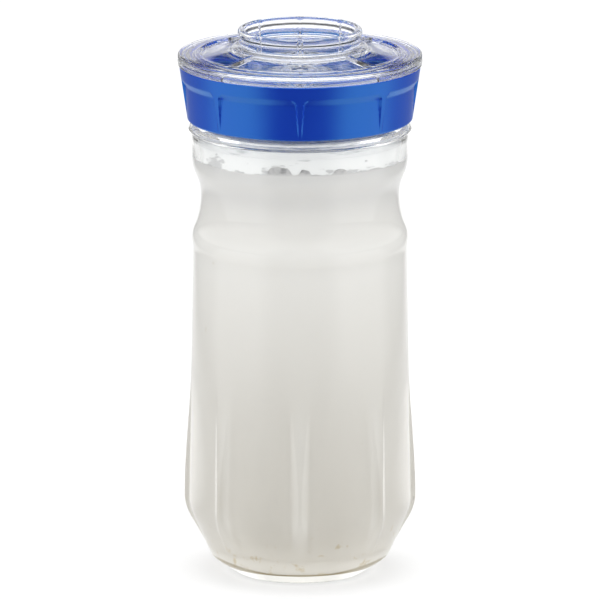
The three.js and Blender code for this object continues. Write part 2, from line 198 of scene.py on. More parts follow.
def rib_and_panel(radius, height, share):
    """Push the outside out at a rib and draw it in between two ribs, over the lower body."""
    low, high = RIBBED_STRETCH
    if not low < height < high or radius < level_radius(outside, height) - GLASS_WALL / 2:
        return radius, height
    from_rib = min(share, 1 - share) * FACET_ARC
    rise = RIB_HEIGHT * swell(RIB_RISE, RIB_FADE, height)
    flank = max(rise / RIB_FLANK_SLOPE, RIB_FLANK_LEAST)
    climb = clamp((RIB_WIDTH / 2 - from_rib) / flank)
    rib = (1 - RIB_SOFTNESS) * climb + RIB_SOFTNESS * smoothstep(0, 1, climb)
    sink = PANEL_DEPTH * swell(PANEL_RISE, PANEL_FADE, height)
    across = clamp((from_rib - RIB_WIDTH / 2) / (FACET_ARC / 2 - RIB_WIDTH / 2))
    return radius + rise * rib - sink * across * (2 - across), height


outside = drawn(
    (0, 2.2),
    [
        [(18.6, 2.2)],
        [(22, 2.2), (22.8, 0)],
        [(25.4, 0)],
        [(27, 0.2), (28.6, 1.5)],
        [(33, 4.3)],
        [(36, 6.2), (37.1, 7.7)],
        *jar_side(0),
        [(44.2, 184.7)],
        [(44.3, 185.2), (45.0, 185.2)],
        [(45.6, 185.3), (45.6, 186.1)],
        [(45.6, 187.5), (44.0, 187.5)],
        [(42.6, 187.5)],
        [(42, 187.5), (42, 188.2)],
        [(42, 200.6)],
        [(42, 202), (40.4, 202)],
        [(38.8, 202), (38.8, 200.4)],
    ],
    OUTSIDE_SPACING,
)
inside = drawn(
    (0, 5.8),
    [
        [(30.6, 5.8)],
        [(32.3, 5.8), (33.1, 7.0)],
        *jar_side(GLASS_WALL),
        [(41.1, 184.5), (39.2, 186.6)],
        [(38.8, 187.4), (38.8, 188.4)],
        [(38.8, 200.4)],
    ],
    INSIDE_SPACING,
)
jar = turned("jar_body", outside + inside[-2::-1], JAR_STEPS)
reshape(jar, rib_and_panel, gather=0.78)
smooth(jar)


def linear(hex_colour):
    """An sRGB hex colour as linear RGBA."""
    values = [int(hex_colour[i : i + 2], 16) / 255 for i in (1, 3, 5)]
    return [v / 12.92 if v <= 0.04045 else ((v + 0.055) / 1.055) ** 2.4 for v in values] + [1]


def add(tree, kind, inputs=None, **settings):
    """Add a node with its settings, and set its inputs or link them to a socket or a node."""
    node = tree.nodes.new(kind)
    for key, value in settings.items():
        setattr(node, key, value)
    for key, value in (inputs or {}).items():
        if isinstance(value, bpy.types.Node):
            value = next(socket for socket in value.outputs if socket.enabled)
        if isinstance(value, bpy.types.NodeSocket):
            tree.links.new(value, node.inputs[key])
        else:
            node.inputs[key].default_value = value
    return node


def new_material(name):
    """An empty node material and its tree."""
    material = bpy.data.materials.new(name)
    material.use_nodes = True
    material.node_tree.nodes.clear()
    return material, material.node_tree


# Blown and pressed glass: colourless but for a trace of green, polished, with a slow waviness
# from the mould, about 14 mm from crest to crest, that bends what is seen through it.
glass, tree = new_material("soda_lime_glass")
place = add(tree, "ShaderNodeTexCoord").outputs["Object"]
waves = add(
    tree,
    "ShaderNodeTexNoise",
    {"Vector": place, "Scale": 1 / (14 * MM), "Detail": 1.5, "Roughness": 0.4},
)
ripple = add(
    tree, "ShaderNodeBump", {"Height": waves, "Strength": 0.25, "Distance": 0.4 * MM}
)
surface = add(
    tree,
    "ShaderNodeBsdfPrincipled",
    {
        "Base Color": linear("#FCFDFC"),
        "Roughness": 0.015,
        "IOR": 1.52,
        "Transmission Weight": 1.0,
        "Normal": ripple,
    },
)
add(tree, "ShaderNodeOutputMaterial", {"Surface": surface})
jar.data.materials.append(glass)
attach(jar, "jar")
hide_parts("glass_jar")

# Threads on the neck
# Four short ridges of glass, moulded in one with the neck, that the lid's own threads run under.
THREAD_LEAD = 18
THREAD_LOW = 191.5
THREAD_STARTS = 4
THREAD_STEPS = 40
THREAD_SIDES = 8
THREAD_RUN_IN = (0, 0.12)
THREAD_RUN_OUT = (0.88, 1)
THREAD_END = 0.1


def thread(name, root, reach, width, low, sweep, bearing):
    """Ridges that wind up a round wall from a root radius to a reach radius, with thin ends."""
    points = []
    faces = []
    for start in range(THREAD_STARTS):
        base = len(points)
        for i in range(THREAD_STEPS + 1):
            share = i / THREAD_STEPS
            turn = math.radians(bearing + 360 / THREAD_STARTS * start + sweep * share)
            height = low + THREAD_LEAD * sweep * share / 360
            taper = swell(THREAD_RUN_IN, THREAD_RUN_OUT, share) * (1 - THREAD_END) + THREAD_END
            for side in range(THREAD_SIDES):
                angle = math.pi * side / (THREAD_SIDES - 1)
                radius = root + (reach - root) * taper * math.sin(angle)
                lift = -width / 2 * math.cos(angle) * (1 + taper) / 2
                points.append((radius * math.cos(turn), radius * math.sin(turn), height + lift))
        for i in range(THREAD_STEPS):
            for side in range(THREAD_SIDES):
                a = base + i * THREAD_SIDES + side
                b = base + i * THREAD_SIDES + (side + 1) % THREAD_SIDES
                faces.append((a, b, b + THREAD_SIDES, a + THREAD_SIDES))
        for end in (base, base + THREAD_STEPS * THREAD_SIDES):
            faces.append(tuple(range(end, end + THREAD_SIDES)))
    piece = new_piece(name, points, [], faces)
    face_outwards()
    smooth(piece, 50)
    return piece


neck_thread = thread(
    "neck_thread", root=41.8, reach=42.9, width=1.7, low=THREAD_LOW, sweep=105, bearing=0
)
neck_thread.data.materials.append(glass)
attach(neck_thread, "jar")

# Kefir
# Cultured milk, poured in up to the neck. It lies against the glass with no air between, its
# edge climbs the wall in low uneven lumps, and grains have settled on the floor.
MILK_OVERLAP = 0.12
MILK_LEVEL = 174.4
MILK_STEPS = 360
MILK_SPACING = 1.6
LEVEL_MARGIN = 0.01
FILM_THICKNESS = 0.35
# How far in from the glass, and how far below the edge, the surface is
MENISCUS = [(0.8, 0.35), (1.6, 0.7), (3.0, 0.95), (5.0, 1.0)]
MENISCUS_DROP = 1.0
MENISCUS_ROOM = 0.6
SURFACE_RINGS = (30, 20, 10, 0)
EDGE_MEAN = 0.5
EDGE_LEAST = 0.1
# Rise in mm, number round the jar, and lead in radians
EDGE_WAVES = [(0.3, 3, 0.4), (0.2, 7, 2.1), (0.2, 17, 0.7), (0.2, 31, 1.9), (0.12, 53, 0)]
# Middle and half width as shares of a turn from the front, and rise in mm
EDGE_LUMPS = [(-0.032, 0.022, 3.2), (0.008, 0.01, 1.8), (0.063, 0.014, 1.6)]
LUMP_CORE = 0.55


def edge_height(share_of_turn):
    """How far the milk's edge stands above the level, round the jar from the front."""
    turn = 2 * math.pi * share_of_turn
    height = EDGE_MEAN
    for rise, count, lead in EDGE_WAVES:
        height += rise * math.sin(count * turn + lead)
    for middle, half, rise in EDGE_LUMPS:
        away = abs((share_of_turn - middle + 0.5) % 1 - 0.5)
        height += rise * (1 - smoothstep(half * LUMP_CORE, half, away))
    return max(EDGE_LEAST, height)


def milk_radius(height):
    """Radius at which milk touches the glass's inside face, at a height above the waist."""
    return level_radius(inside, height) + MILK_OVERLAP


milk_side = drawn(
    (0, 5.7),
    [
        [(30.6, 5.7)],
        [(32.4, 5.7), (33.2, 7.0)],
        *jar_side(GLASS_WALL - MILK_OVERLAP),
    ],
    MILK_SPACING,
)
milk_edge = milk_radius(MILK_LEVEL)
milk_profile = [
    *[point for point in milk_side if point[1] < MILK_LEVEL - MENISCUS_ROOM],
    (milk_edge, MILK_LEVEL),
    (milk_edge - FILM_THICKNESS, MILK_LEVEL),
    *[(milk_edge - inward, MILK_LEVEL - drop) for inward, drop in MENISCUS],
    *[(radius, MILK_LEVEL - MENISCUS_DROP) for radius in SURFACE_RINGS],
]
milk = turned("kefir", milk_profile, MILK_STEPS)
for vertex in milk.data.vertices:
    x, y, z = vertex.co
    if z / MM > MILK_LEVEL - LEVEL_MARGIN:
        radius = math.hypot(x, y) / MM
        climb = edge_height(math.atan2(x, -y) / (2 * math.pi))
        out = (radius + milk_radius(z / MM + climb) - milk_edge) / radius
        vertex.co = (x * out, y * out, z + climb * MM)
smooth(milk, 60)

# Cultured milk: an opaque warm white that light soaks into, with painted shade that darkens it
# towards the floor, and tan flecks of grain, 1 to 3 mm across, that thicken there.
kefir, tree = new_material("cultured_milk")
place = add(tree, "ShaderNodeTexCoord").outputs["Object"]
spot = add(tree, "ShaderNodeSeparateXYZ", {"Vector": place})
height = spot.outputs["Z"]
above_floor = add(
    tree, "ShaderNodeMath", {0: height, 1: 6.0 * MM}, operation="GREATER_THAN"
)
cloud = add(
    tree, "ShaderNodeTexNoise", {"Vector": place, "Scale": 1 / (28 * MM), "Detail": 3.0}
)
milk_white = add(
    tree,
    "ShaderNodeMix",
    {"Factor": cloud, 6: linear("#F8F7F5"), 7: linear("#FAF9F7")},
    data_type="RGBA",
)
# Painted shade: the milk's white darkens below 130 mm, fully by 20 mm, above the floor face
depth = add(
    tree,
    "ShaderNodeMapRange",
    {
        "Value": height,
        "From Min": 20 * MM,
        "From Max": 130 * MM,
        "To Min": 1.0,
        "To Max": 0.0,
    },
)
floor_shade = add(tree, "ShaderNodeMath", {0: depth, 1: above_floor}, operation="MULTIPLY")
shaded_milk = add(
    tree,
    "ShaderNodeMix",
    {"Factor": floor_shade, 6: milk_white, 7: linear("#E3E0DA")},
    data_type="RGBA",
)
# Flecks of grain
settled = add(
    tree,
    "ShaderNodeMapRange",
    {
        "Value": height,
        "From Min": 8 * MM,
        "From Max": 34 * MM,
        "To Min": 0.0,
        "To Max": 0.13,
    },
    interpolation_type="SMOOTHSTEP",
)
fleck_noise = add(
    tree,
    "ShaderNodeTexNoise",
    {"Vector": place, "Scale": 1 / (5.5 * MM), "Detail": 4.0, "Roughness": 0.62},
)
fleck_edge = add(tree, "ShaderNodeMath", {0: fleck_noise, 1: settled}, operation="SUBTRACT")
fleck_share = add(
    tree,
    "ShaderNodeMapRange",
    {
        "Value": fleck_edge,
        "From Min": 0.575,
        "From Max": 0.68,
        "To Min": 0.0,
        "To Max": 0.6,
    },
)
flecks = add(tree, "ShaderNodeMath", {0: fleck_share, 1: above_floor}, operation="MULTIPLY")
flecked = add(
    tree,
    "ShaderNodeMix",
    {"Factor": flecks, 6: shaded_milk, 7: linear("#C2AE7E")},
    data_type="RGBA",
)
# A brown-olive line round the milk's floor edge, taller at the left and right
aside = add(tree, "ShaderNodeMath", {0: spot.outputs["X"]}, operation="ABSOLUTE")
line_rise = add(
    tree,
    "ShaderNodeMapRange",
    {
        "Value": aside,
        "From Min": 12 * MM,
        "From Max": 31 * MM,
        "To Min": 0.0,
        "To Max": 2.2 * MM,
    },
)
line_height = add(tree, "ShaderNodeMath", {0: height, 1: line_rise}, operation="SUBTRACT")
line_share = add(
    tree,
    "ShaderNodeMapRange",
    {
        "Value": line_height,
        "From Min": 6.3 * MM,
        "From Max": 7.0 * MM,
        "To Min": 0.85,
        "To Max": 0.0,
    },
)
level_place = add(tree, "ShaderNodeVectorMath", {0: place, 1: (1, 1, 0)}, operation="MULTIPLY")
from_axis = add(tree, "ShaderNodeVectorMath", {0: level_place}, operation="LENGTH")
in_corner = add(
    tree, "ShaderNodeMath", {0: from_axis, 1: 31.5 * MM}, operation="GREATER_THAN"
)
floor_line = add(tree, "ShaderNodeMath", {0: line_share, 1: in_corner}, operation="MULTIPLY")
lined = add(
    tree,
    "ShaderNodeMix",
    {"Factor": floor_line, 6: flecked, 7: linear("#8C7C50")},
    data_type="RGBA",
)
# Curds on the milk's edge, painted grey: the grey is painted shade under the lid
curd = add(tree, "ShaderNodeTexNoise", {"Vector": place, "Scale": 1 / (3 * MM), "Detail": 2.0})
brim = add(
    tree,
    "ShaderNodeMapRange",
    {
        "Value": height,
        "From Min": MILK_LEVEL * MM,
        "From Max": (MILK_LEVEL + 1.6) * MM,
        "To Min": 0.0,
        "To Max": 1.0,
    },
)
lumpy = add(
    tree,
    "ShaderNodeMapRange",
    {
        "Value": curd,
        "From Min": 0.35,
        "From Max": 0.6,
        "To Min": 0.9,
        "To Max": 0.35,
    },
)
curd_shade = add(tree, "ShaderNodeMath", {0: brim, 1: lumpy}, operation="MULTIPLY")
milk_colour = add(
    tree,
    "ShaderNodeMix",
    {"Factor": curd_shade, 6: lined, 7: linear("#A5A4A6")},
    data_type="RGBA",
)
curd_bump = add(
    tree, "ShaderNodeBump", {"Height": curd, "Strength": 0.15, "Distance": 0.3 * MM}
)
surface = add(
    tree,
    "ShaderNodeBsdfPrincipled",
    {"Base Color": milk_colour, "Roughness": 0.45, "IOR": 1.35, "Normal": curd_bump},
)
add(tree, "ShaderNodeOutputMaterial", {"Surface": surface})
milk.data.materials.append(kefir)
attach(milk, "jar")
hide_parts("kefir_fill")

# Kefir film
# The milk that clings to the glass above the level after the jar was moved: a thin white coat
# up to the bead's top, with thicker drips and curds where it meets the level, painted grey as
# shade under the lid.
FILM_TOP = 186.8
FILM_LOW = MILK_LEVEL - 0.9
FILM_AIR = 0.12
FILM_ROWS = 14
FILM_STEPS = 256
film_heights = [FILM_LOW + (FILM_TOP - FILM_LOW) * i / FILM_ROWS for i in range(FILM_ROWS + 1)]
film_outer = [
    (milk_radius(height) - MILK_OVERLAP - FILM_AIR, height) for height in film_heights
]
film_inner = [(radius - FILM_THICKNESS, height) for radius, height in film_outer[::-1]]
film = turned("kefir_film", film_outer + film_inner, FILM_STEPS, closed=True)
smooth(film, 60)

# A film of milk: cooler and whiter than the milk itself, streaked along the glass and worn
# through near its top, with curds 3 to 9 mm long near the level, painted grey as shade under the
# lid.
coat, tree = new_material("milk_film")
place = add(tree, "ShaderNodeTexCoord").outputs["Object"]
height = add(tree, "ShaderNodeSeparateXYZ", {"Vector": place}).outputs["Z"]
flat = add(tree, "ShaderNodeMapping", {"Vector": place, "Scale": (1, 1, 2.6)})
drift = add(
    tree,
    "ShaderNodeTexNoise",
    {"Vector": flat, "Scale": 1 / (9 * MM), "Detail": 3.0, "Roughness": 0.6},
)
low = add(
    tree,
    "ShaderNodeMapRange",
    {
        "Value": height,
        "From Min": MILK_LEVEL * MM,
        "From Max": (MILK_LEVEL + 7) * MM,
        "To Min": 0.06,
        "To Max": -0.16,
    },
)
heap = add(tree, "ShaderNodeMath", {0: drift, 1: low}, operation="ADD")
# Painted shade: grey curd patches near the level, where the lid shades the film
curd_shade_share = add(
    tree,
    "ShaderNodeMapRange",
    {
        "Value": heap,
        "From Min": 0.53,
        "From Max": 0.6,
        "To Min": 0.0,
        "To Max": 0.8,
    },
)
coat_colour = add(
    tree,
    "ShaderNodeMix",
    {"Factor": curd_shade_share, 6: linear("#FEFEFF"), 7: linear("#C9C8CA")},
    data_type="RGBA",
)
surface = add(
    tree,
    "ShaderNodeBsdfPrincipled",
    {"Base Color": coat_colour, "Roughness": 0.4, "IOR": 1.35},
)
streaked = add(tree, "ShaderNodeMapping", {"Vector": place, "Scale": (1, 1, 7)})
streaks = add(
    tree, "ShaderNodeTexNoise", {"Vector": streaked, "Scale": 1 / (16 * MM), "Detail": 3.0}
)
thin = add(
    tree,
    "ShaderNodeMapRange",
    {
        "Value": height,
        "From Min": 179.5 * MM,
        "From Max": 186 * MM,
        "To Min": -0.3,
        "To Max": 0.06,
    },
)
worn = add(tree, "ShaderNodeMath", {0: streaks, 1: thin}, operation="ADD")
bare = add(
    tree,
    "ShaderNodeMapRange",
    {
        "Value": worn,
        "From Min": 0.46,
        "From Max": 0.66,
        "To Min": 0.0,
        "To Max": 0.7,
    },
)
clear = add(tree, "ShaderNodeBsdfTransparent")
coated = add(tree, "ShaderNodeMixShader", {0: bare, 1: surface, 2: clear})
add(tree, "ShaderNodeOutputMaterial", {"Surface": coated})
film.data.materials.append(coat)
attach(film, "jar")

# Jar gasket
# A flat ring of white silicone that stays in the lid and seals on the glass rim,
# moulded with two fine beads on each face.
RING_STEPS = 160
BEAD_RISE = 0.25
GASKET_HALF = [
    (39.3, BEAD_RISE, 0.5),
    (40.1, BEAD_RISE, 0.2),
    (40.5, 0, 0.3),
    (40.9, BEAD_RISE, 0.2),
    (41.7, BEAD_RISE, 0.2),
    (42.1, 0, 0.3),
    (42.5, BEAD_RISE, 0.2),
    (43.3, BEAD_RISE, 0.5),
]


def mirrored(half, low, high):
    """Corners of a ring's section, from its lower half of (radius, lift, rounding)."""
    lower = [(radius, low + lift, rounding) for radius, lift, rounding in half]
    upper = [(radius, high - lift, rounding) for radius, lift, rounding in half[::-1]]
    return lower + upper


def rounded(corners, spacing=0.25):
    """A closed profile whose corners (radius, height, rounding) are softened."""
    points = []
    count = len(corners)
    for i, (x, z, rounding) in enumerate(corners):
        if rounding == 0:
            points.append((x, z))
            continue
        ends = []
        for other in (corners[i - 1], corners[(i + 1) % count]):
            length = math.dist((x, z), other[:2])
            share = min(rounding, length * 0.48) / length
            ends.append((x + (other[0] - x) * share, z + (other[1] - z) * share))
        steps = max(3, round(math.dist(*ends) / spacing))
        points.append(ends[0])
        points += bezier([ends[0], (x, z), ends[1]], steps)
    return points


gasket_low, gasket_high = (corner[2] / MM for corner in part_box("jar_gasket"))
gasket_profile = rounded(mirrored(GASKET_HALF, gasket_low, gasket_high))
gasket = turned("gasket_ring", gasket_profile, RING_STEPS, closed=True)
smooth(gasket)

# Silicone rubber, moulded: milky white with a soft sheen and a fine grain, drawn at 0.8 mm so
# that it shows. Light soaks in a little.
silicone, tree = new_material("white_silicone")
place = add(tree, "ShaderNodeTexCoord").outputs["Object"]
grain = add(
    tree, "ShaderNodeTexNoise", {"Vector": place, "Scale": 1 / (0.8 * MM), "Detail": 2.0}
)
grain_bump = add(
    tree, "ShaderNodeBump", {"Height": grain, "Strength": 0.2, "Distance": 0.05 * MM}
)
tone = add(
    tree,
    "ShaderNodeMix",
    {"Factor": grain, 6: linear("#DFE3E5"), 7: linear("#EEF0F1")},
    data_type="RGBA",
)
surface = add(
    tree,
    "ShaderNodeBsdfPrincipled",
    {
        "Base Color": tone,
        "Roughness": 0.5,
        "IOR": 1.41,
        "Subsurface Weight": 0.3,
        "Subsurface Radius": (1.0, 1.0, 1.0),
        "Subsurface Scale": 1 * MM,
        "Normal": grain_bump,
    },
)
add(tree, "ShaderNodeOutputMaterial", {"Surface": surface})
gasket.data.materials.append(silicone)
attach(gasket, "gasket")
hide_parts("jar_gasket")

# Screw lid
# Blue polypropylene, injection moulded: a skirt with eight recessed panels parted by slim ribs
# that fork into a plain collar, and a deck inside with a ledge for the strainer.
LID_STEPS = 640
LID_FACET_ARC = 37.0
SKIRT_LOW = 189.8
SKIRT_ROW = 0.42
SKIRT_ROWS = 51
SKIRT_SKIN = 0.4
LIP_TOP = 190.4
LIP_RADIUS = 46.1
DECK_LOW = 204.6
LEDGE_TOP = 205.9
DECK_TOP = 207.2
COLLAR_BORE = 46.4
COLLAR_TOP = 212.4
COLLAR_RADIUS = 49.4
LID_PANEL_RECESS = 1.3
LID_PANEL_TOP = 204.6
LID_PANEL_EDGE = (-0.15, 0.45)
BAND_LOW = 207.4
BAND_MARGIN = 0.3
LID_RIB_HALF = 0.55
LID_RIB_TAPER = 0.75
FORK_WIDTH = 1.8
FORK_HEIGHT = 3.4
RECESS_ARC = (40.6, 73.4)
RECESS_RADIUS = 48.45
RECESS_FLOOR = 211.2


def lid_cone(height):
    """Radius of the skirt's outside before its panels are sunk."""
    share = (height - LIP_TOP) / (COLLAR_TOP - LIP_TOP)
    return LIP_RADIUS + (COLLAR_RADIUS - LIP_RADIUS) * share


skirt_heights = [LIP_TOP + 0.5 + SKIRT_ROW * i for i in range(SKIRT_ROWS)]
lid_corners = [
    (COLLAR_BORE, COLLAR_TOP, 0.35),
    (COLLAR_BORE, DECK_TOP, 0.4),
    (40.1, DECK_TOP, 0.2),
    (40.1, LEDGE_TOP, 0.2),
    (37.6, LEDGE_TOP, 0.2),
    (37.6, DECK_LOW, 0.2),
    (43.6, DECK_LOW, 0.5),
    (43.6, SKIRT_LOW, 0.3),
    (45.6, SKIRT_LOW, 0.3),
    (LIP_RADIUS, LIP_TOP, 0.3),
    *[(lid_cone(height), height, 0) for height in skirt_heights],
    (COLLAR_RADIUS, COLLAR_TOP, 0.5),
    (48.5, COLLAR_TOP, 0),
    (48.4, COLLAR_TOP, 0),
]
lid = turned("lid_body", rounded(lid_corners), LID_STEPS, closed=True)


def lid_panels(radius, height, share):
    """Sink the panels behind the skirt's cone and leave the ribs and the collar standing."""
    on_skirt = LIP_TOP <= height <= BAND_LOW + BAND_MARGIN
    if not on_skirt or radius < lid_cone(height) - SKIRT_SKIN:
        return radius, height
    from_rib = min(share, 1 - share) * LID_FACET_ARC
    fork = FORK_WIDTH * smoothstep(BAND_LOW - FORK_HEIGHT, BAND_LOW, height) ** 2
    half = LID_RIB_HALF + LID_RIB_TAPER * smoothstep(LIP_TOP, LID_PANEL_TOP, height) + fork
    in_panel = smoothstep(half + LID_PANEL_EDGE[0], half + LID_PANEL_EDGE[1], from_rib)
    deepen = clamp((height - LIP_TOP) / (LID_PANEL_TOP - LIP_TOP))
    ledge = clamp((BAND_LOW - height) / (BAND_LOW - LID_PANEL_TOP))
    return radius - in_panel * LID_PANEL_RECESS * deepen * ledge, height


reshape(lid, lid_panels, gather=0.72)
# Four recesses in the collar's top, where the cover's tabs turn
for vertex in lid.data.vertices:
    x, y, z = vertex.co
    turn = math.degrees(math.atan2(x, -y)) % 90
    in_recess = RECESS_ARC[0] < turn < RECESS_ARC[1] and math.hypot(x, y) < RECESS_RADIUS * MM
    if in_recess and z > RECESS_FLOOR * MM:
        vertex.co.z = RECESS_FLOOR * MM
smooth(lid, 35)


# Polypropylene, moulded and satin: a strong blue with a soft broad sheen and a faint
# orange-peel, drawn at 1.2 mm so that it shows.
def satin_polypropylene(name, dark, light):
    """Moulded polypropylene between two shades of one colour."""
    material, tree = new_material(name)
    place = add(tree, "ShaderNodeTexCoord").outputs["Object"]
    peel = add(
        tree, "ShaderNodeTexNoise", {"Vector": place, "Scale": 1 / (1.2 * MM), "Detail": 2.0}
    )
    flow = add(
        tree, "ShaderNodeTexNoise", {"Vector": place, "Scale": 1 / (22 * MM), "Detail": 2.0}
    )
    tint = add(
        tree,
        "ShaderNodeMix",
        {"Factor": flow, 6: linear(dark), 7: linear(light)},
        data_type="RGBA",
    )
    sheen = add(
        tree,
        "ShaderNodeMapRange",
        {
            "Value": flow,
            "From Min": 0.3,
            "From Max": 0.7,
            "To Min": 0.3,
            "To Max": 0.36,
        },
    )
    peel_bump = add(
        tree, "ShaderNodeBump", {"Height": peel, "Strength": 0.12, "Distance": 0.05 * MM}
    )
    surface = add(
        tree,
        "ShaderNodeBsdfPrincipled",
        {
            "Base Color": tint,
            "Roughness": sheen,
            "IOR": 2.0,
            "Specular IOR Level": 1.0,
            "Specular Tint": linear("#6CDCFF"),
            "Normal": peel_bump,
        },
    )
    add(tree, "ShaderNodeOutputMaterial", {"Surface": surface})
    return material


polypropylene = satin_polypropylene("blue_polypropylene", "#0615BE", "#0819C6")
lid.data.materials.append(polypropylene)
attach(lid, "lid")
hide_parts("screw_lid")

# Threads in the lid
# Four ridges of polypropylene inside the skirt, moulded with it, that run between those of the
# neck, half a thread's pitch above them.
half_pitch = THREAD_LEAD / THREAD_STARTS / 2
lid_thread = thread(
    "lid_thread",
    root=43.75,
    reach=42.35,
    width=1.5,
    low=THREAD_LOW + half_pitch,
    sweep=80,
    bearing=12,
)
lid_thread.data.materials.append(polypropylene)
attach(lid_thread, "lid")

# Strainer
# A shallow dish of blue polypropylene, a shade greener than the lid's, that drops onto the
# lid's ledge, with a ring of slots through its floor and a hole for the reamer's spigot.
STRAINER_STEPS = 192
SLOT_COUNT = 32
SLOT_HALF = 0.8
SLOT_ENDS = (15.8, 34.1)
SLOT_MIDDLE = 202.5
SLOT_CUT = 4
SLOT_CORNERS = 16


def joined(pieces):
    """Join pieces into one."""
    pick(pieces[0])
    for piece in pieces:
        piece.select_set(True)
    bpy.ops.object.join()
    return bpy.context.object


def combine(piece, tool, operation):
    """Cut a tool out of a piece or add it to the piece, and use it up."""
    pick(piece)
    boolean = piece.modifiers.new("boolean", "BOOLEAN")
    boolean.object = tool
    boolean.operation = operation
    boolean.solver = "EXACT"
    bpy.ops.object.modifier_apply(modifier="boolean")
    bpy.data.objects.remove(tool)
    face_outwards()


strainer = turned(
    "strainer_dish",
    rounded(
        [
            (6.0, 201.8, 0.2),
            (37.3, 201.8, 0.8),
            (37.3, 206.2, 0.2),
            (39.8, 206.2, 0.3),
            (39.8, 207.2, 0.3),
            (35.9, 207.2, 0.5),
            (35.9, 203.2, 0.8),
            (6.0, 203.2, 0.3),
        ]
    ),
    STRAINER_STEPS,
    closed=True,
)
bpy.ops.object.select_all(action="DESELECT")
bpy.ops.mesh.primitive_cylinder_add(
    vertices=SLOT_CORNERS,
    radius=SLOT_HALF * MM,
    depth=SLOT_CUT * MM,
    location=(0, -sum(SLOT_ENDS) / 2 * MM, SLOT_MIDDLE * MM),
)
cutter = bpy.context.object
stretch = (SLOT_ENDS[1] - SLOT_ENDS[0]) / 2 - SLOT_HALF
for vertex in cutter.data.vertices:
    if abs(vertex.co.y) > 0.05 * MM:
        vertex.co.y += math.copysign(stretch * MM, vertex.co.y)
bpy.ops.object.transform_apply(location=True, rotation=True, scale=True)
cutters = [cutter]
for i in range(1, SLOT_COUNT):
    copy = cutter.copy()
    copy.data = cutter.data.copy()
    bpy.context.collection.objects.link(copy)
    turn = 2 * math.pi * i / SLOT_COUNT
    for vertex in copy.data.vertices:
        x, y = vertex.co.x, vertex.co.y
        vertex.co.x = x * math.cos(turn) - y * math.sin(turn)
        vertex.co.y = x * math.sin(turn) + y * math.cos(turn)
    cutters.append(copy)
combine(strainer, joined(cutters), "DIFFERENCE")
smooth(strainer, 35)
strainer.data.materials.append(
    satin_polypropylene("strainer_polypropylene", "#0A3A9C", "#0D40A6")
)
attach(strainer, "lid")
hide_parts("strainer_disc")

# Reamer
# A low fluted dome of clear copolyester, moulded in one with the spigot that presses into the
# strainer's hole.
REAMER_STEPS = 240
REAMER_SPACING = 0.4
REAMER_LOW = 203.5
REAMER_RISE = 10.6
FLUTES = 10
FLUTE_DEPTH = 0.16
FLUTE_START = (0.1, 0.5)
FLUTE_SHARPNESS = 1.4
reamer_profile = drawn(
    (0, 201.8),
    [
        [(5.4, 201.8)],
        [(5.7, 201.8), (5.7, 202.1)],
        [(5.7, 203.5)],
        [(13.7, 203.5)],
        [(14, 203.5), (14, 203.8)],
        [(14, 204.6)],
        [(14, 205.1), (13.7, 205.6)],
        [(12.4, 209.8), (7.0, 214.1), (0, 214.1)],
    ],
    REAMER_SPACING,
)
reamer = turned("reamer_dome", reamer_profile, REAMER_STEPS)
for vertex in reamer.data.vertices:
    lift = (vertex.co.z / MM - REAMER_LOW) / REAMER_RISE
    wave = (1 - math.cos(FLUTES * math.atan2(vertex.co.x, -vertex.co.y))) / 2
    groove = FLUTE_DEPTH * smoothstep(*FLUTE_START, lift) * wave**FLUTE_SHARPNESS
    vertex.co.x *= 1 - groove
    vertex.co.y *= 1 - groove
smooth(reamer, 50)

# Copolyester, clear and polished: bends light a little more than glass does, with faint flow
# lines round the gate that show as slow ripples, about 9 mm apart.
copolyester, tree = new_material("clear_copolyester")
place = add(tree, "ShaderNodeTexCoord").outputs["Object"]
flow = add(tree, "ShaderNodeTexNoise", {"Vector": place, "Scale": 1 / (9 * MM), "Detail": 2.0})
flow_bump = add(
    tree, "ShaderNodeBump", {"Height": flow, "Strength": 0.06, "Distance": 0.2 * MM}
)
surface = add(
    tree,
    "ShaderNodeBsdfPrincipled",
    {
        "Base Color": linear("#FBFCFE"),
        "Roughness": 0.02,
        "IOR": 1.56,
        "Transmission Weight": 1.0,
        "Normal": flow_bump,
    },
)
add(tree, "ShaderNodeOutputMaterial", {"Surface": surface})
reamer.data.materials.append(copolyester)
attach(reamer, "lid")
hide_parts("citrus_reamer")

# Cover seal
# A moulded ring of clear silicone in the groove of the cover's plug, with two lips that press
# on the collar.
SEAL_SPACING = 0.1
seal_low, seal_high = (corner[2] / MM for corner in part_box("cover_seal"))
seal_middle = (seal_high - seal_low) / 2
seal_half = [
    (44.9, 0, 0.2),
    (45.7, 0, 0.1),
    (45.75, seal_middle - 0.65, 0.1),
    (46.1, seal_middle - 0.42, 0.15),
    (45.75, seal_middle - 0.15, 0.1),
]
seal_profile = rounded(mirrored(seal_half, seal_low, seal_high), SEAL_SPACING)
seal = turned("cover_seal_ring", seal_profile, RING_STEPS, closed=True)
smooth(seal)

# Silicone rubber without pigment: clear, with a soft haze and the gasket's fine grain.
clear_silicone, tree = new_material("clear_silicone")
place = add(tree, "ShaderNodeTexCoord").outputs["Object"]
grain = add(
    tree, "ShaderNodeTexNoise", {"Vector": place, "Scale": 1 / (0.8 * MM), "Detail": 2.0}
)
grain_bump = add(
    tree, "ShaderNodeBump", {"Height": grain, "Strength": 0.1, "Distance": 0.05 * MM}
)
surface = add(
    tree,
    "ShaderNodeBsdfPrincipled",
    {
        "Base Color": linear("#F4F6F7"),
        "Roughness": 0.12,
        "IOR": 1.41,
        "Transmission Weight": 1.0,
        "Normal": grain_bump,
    },
)
add(tree, "ShaderNodeOutputMaterial", {"Surface": surface})
seal.data.materials.append(clear_silicone)
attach(seal, "seal")
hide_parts("cover_seal")

